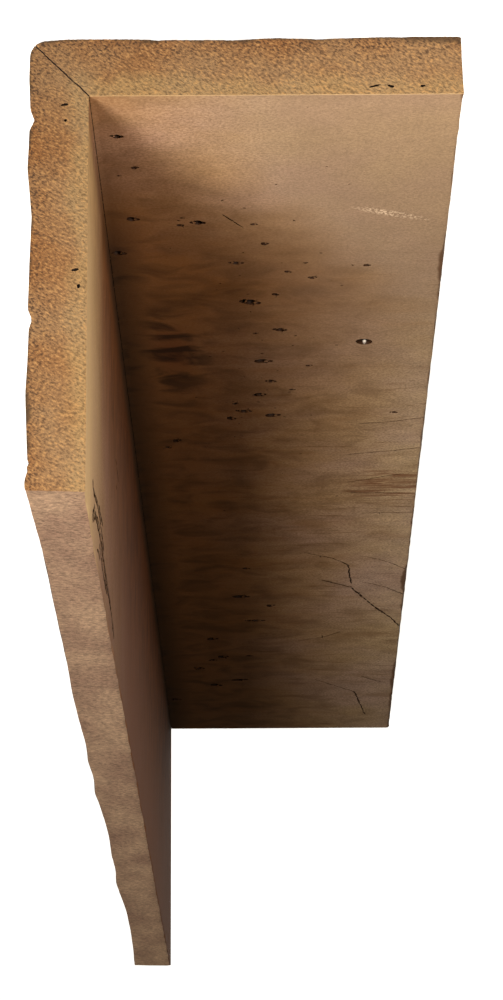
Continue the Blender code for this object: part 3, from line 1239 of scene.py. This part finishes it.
# %% Edge skin
tree, shader, place = open_finish("edge_skin", Roughness=0.85, IOR=1.45)
sand = add_node(
    tree, "ShaderNodeTexNoise",
    {"Vector": place, "Scale": 1 / (1.7 * MM), "Detail": 4.0, "Roughness": 0.7},
)
rub_place = add_node(tree, "ShaderNodeMapping", {"Vector": place, "Scale": (1.0, 0.4, 1.0)})
rubs = add_node(
    tree, "ShaderNodeTexNoise", {"Vector": rub_place, "Scale": 1 / (16 * MM), "Detail": 6.0},
)
rub_share = add_node(
    tree, "ShaderNodeMapRange", {"Value": rubs, "From Min": 0.38, "From Max": 0.68},
)
rubbed = add_node(
    tree, "ShaderNodeMix",
    {"Factor": rub_share, "A": linear("AE8D70"), "B": linear("91705A")}, data_type="RGBA",
)
sand_value = add_node(
    tree, "ShaderNodeMapRange",
    {"Value": sand, "From Min": 0.32, "From Max": 0.68, "To Min": 0.5, "To Max": 1.45},
)
sandy = add_node(tree, "ShaderNodeHueSaturation", {"Value": sand_value, "Color": rubbed})
tree.links.new(sandy.outputs[0], shader.inputs["Base Color"])
relief = add_node(
    tree, "ShaderNodeBump", {"Height": sand, "Strength": 0.7, "Distance": 0.3 * MM},
)
tree.links.new(relief.outputs["Normal"], shader.inputs["Normal"])
print("edge skin:", len(tree.nodes), "nodes")

# %% [markdown]
# ### The walnut stain of the hewn faces
#
# The faces that show in the room are stained to look like dark old timber. Stain gathers in the
# hollows and the checks, and the high ribs are rubbed lighter. The lines of the grain follow
# the beam, so their noise is stretched along Y.

# %% Walnut stain
tree, shader, place = open_finish("walnut_stain", Roughness=0.6, IOR=1.5)
axes = add_node(tree, "ShaderNodeSeparateXYZ", {0: place}).outputs
depth = below_outside(tree, axes)
grain_place = add_node(tree, "ShaderNodeMapping", {"Vector": place, "Scale": (1.0, 0.045, 1.0)})
grain = add_node(
    tree, "ShaderNodeTexNoise",
    {"Vector": grain_place, "Scale": 1 / (4 * MM), "Detail": 5.0, "Roughness": 0.6},
)
grain_share = add_node(
    tree, "ShaderNodeMapRange", {"Value": grain, "From Min": 0.36, "From Max": 0.66},
)
wood = add_node(
    tree, "ShaderNodeMix",
    {"Factor": grain_share, "A": linear("3A2616"), "B": linear("7A5636")}, data_type="RGBA",
)
depth_share = add_node(
    tree, "ShaderNodeMapRange",
    {"Value": depth, "From Min": 0.8 * MM, "From Max": 6.5 * MM, "To Min": 0.0, "To Max": 0.8},
)
glazed = add_node(
    tree, "ShaderNodeMix", {"Factor": depth_share, "A": wood, "B": linear("24160C")},
    data_type="RGBA",
)
tree.links.new(glazed.outputs[2], shader.inputs["Base Color"])
relief = add_node(
    tree, "ShaderNodeBump", {"Height": grain, "Strength": 0.7, "Distance": 0.6 * MM},
)
tree.links.new(relief.outputs["Normal"], shader.inputs["Normal"])
print("walnut stain:", len(tree.nodes), "nodes")

# %% [markdown]
# ### The walls of voids and cracks
#
# Inside a void the foam is a thin brown film, and painted shade makes it darker the deeper it
# goes. The bottom of the large round void has one bright spot, a painted reflection of the lamp.

# %% Void wall
# A painted glint: the lamp's reflection, painted where the camera sees the large void's bottom.
GLINT_PLACE = on_bottom(LARGE_VOID[0] + 0.2, LARGE_VOID[1] + 2.7)  # where the camera sees it
GLINT_SIZE = (0.9 * MM, 1.1 * MM, 4.0 * MM)

tree, shader, place = open_finish("void_wall", Roughness=0.6, Specular_IOR_Level=0.15)
axes = add_node(tree, "ShaderNodeSeparateXYZ", {0: place}).outputs
sunk = below_inside(tree, axes)
sunk_shade_share = add_node(
    tree, "ShaderNodeMapRange", {"Value": sunk, "From Min": 0.5 * MM, "From Max": 1.9 * MM},
)
# Painted shade: the film is darker the deeper it lies below the inner face.
shaded_film = add_node(
    tree, "ShaderNodeMix", {"Factor": sunk_shade_share, "A": linear("38210F"), "B": linear("0E0704")},
    data_type="RGBA",
)
# Painted reflection: a pale spot on the large void's bottom.
from_glint = from_mark(tree, place, GLINT_PLACE, GLINT_SIZE)
glint_share = add_node(
    tree, "ShaderNodeMapRange",
    {"Value": from_glint, "From Min": 0.3, "From Max": 1.0, "To Min": 0.9, "To Max": 0.0},
)
glinted = add_node(
    tree, "ShaderNodeMix", {"Factor": glint_share, "A": shaded_film, "B": linear("F4EADA")},
    data_type="RGBA",
)
tree.links.new(glinted.outputs[2], shader.inputs["Base Color"])

# %% [markdown]
# ### The floor
#
# A matt white floor that also glows stays white far from the lamp.

# %% Floor
floor_paint = bpy.data.materials.new("matt_white_paint")
floor_paint.use_nodes = True
floor_shader = floor_paint.node_tree.nodes["Principled BSDF"]
floor_shader.inputs["Base Color"].default_value = linear("F2F0EC")
floor_shader.inputs["Roughness"].default_value = 0.9
floor_shader.inputs["Emission Color"].default_value = linear("FFFDF9")
floor_shader.inputs["Emission Strength"].default_value = 1.0
floor.data.materials.append(floor_paint)

# %% Smooth shading and hand over
for board, node, slot in (
    (bottom, "bottom_board", "bottom_foam"),
    (side, "side_board", "side_foam"),
):
    work_on(board)
    bpy.ops.object.shade_smooth_by_angle(angle=math.radians(38.0))
    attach(board, "root")
    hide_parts(node)
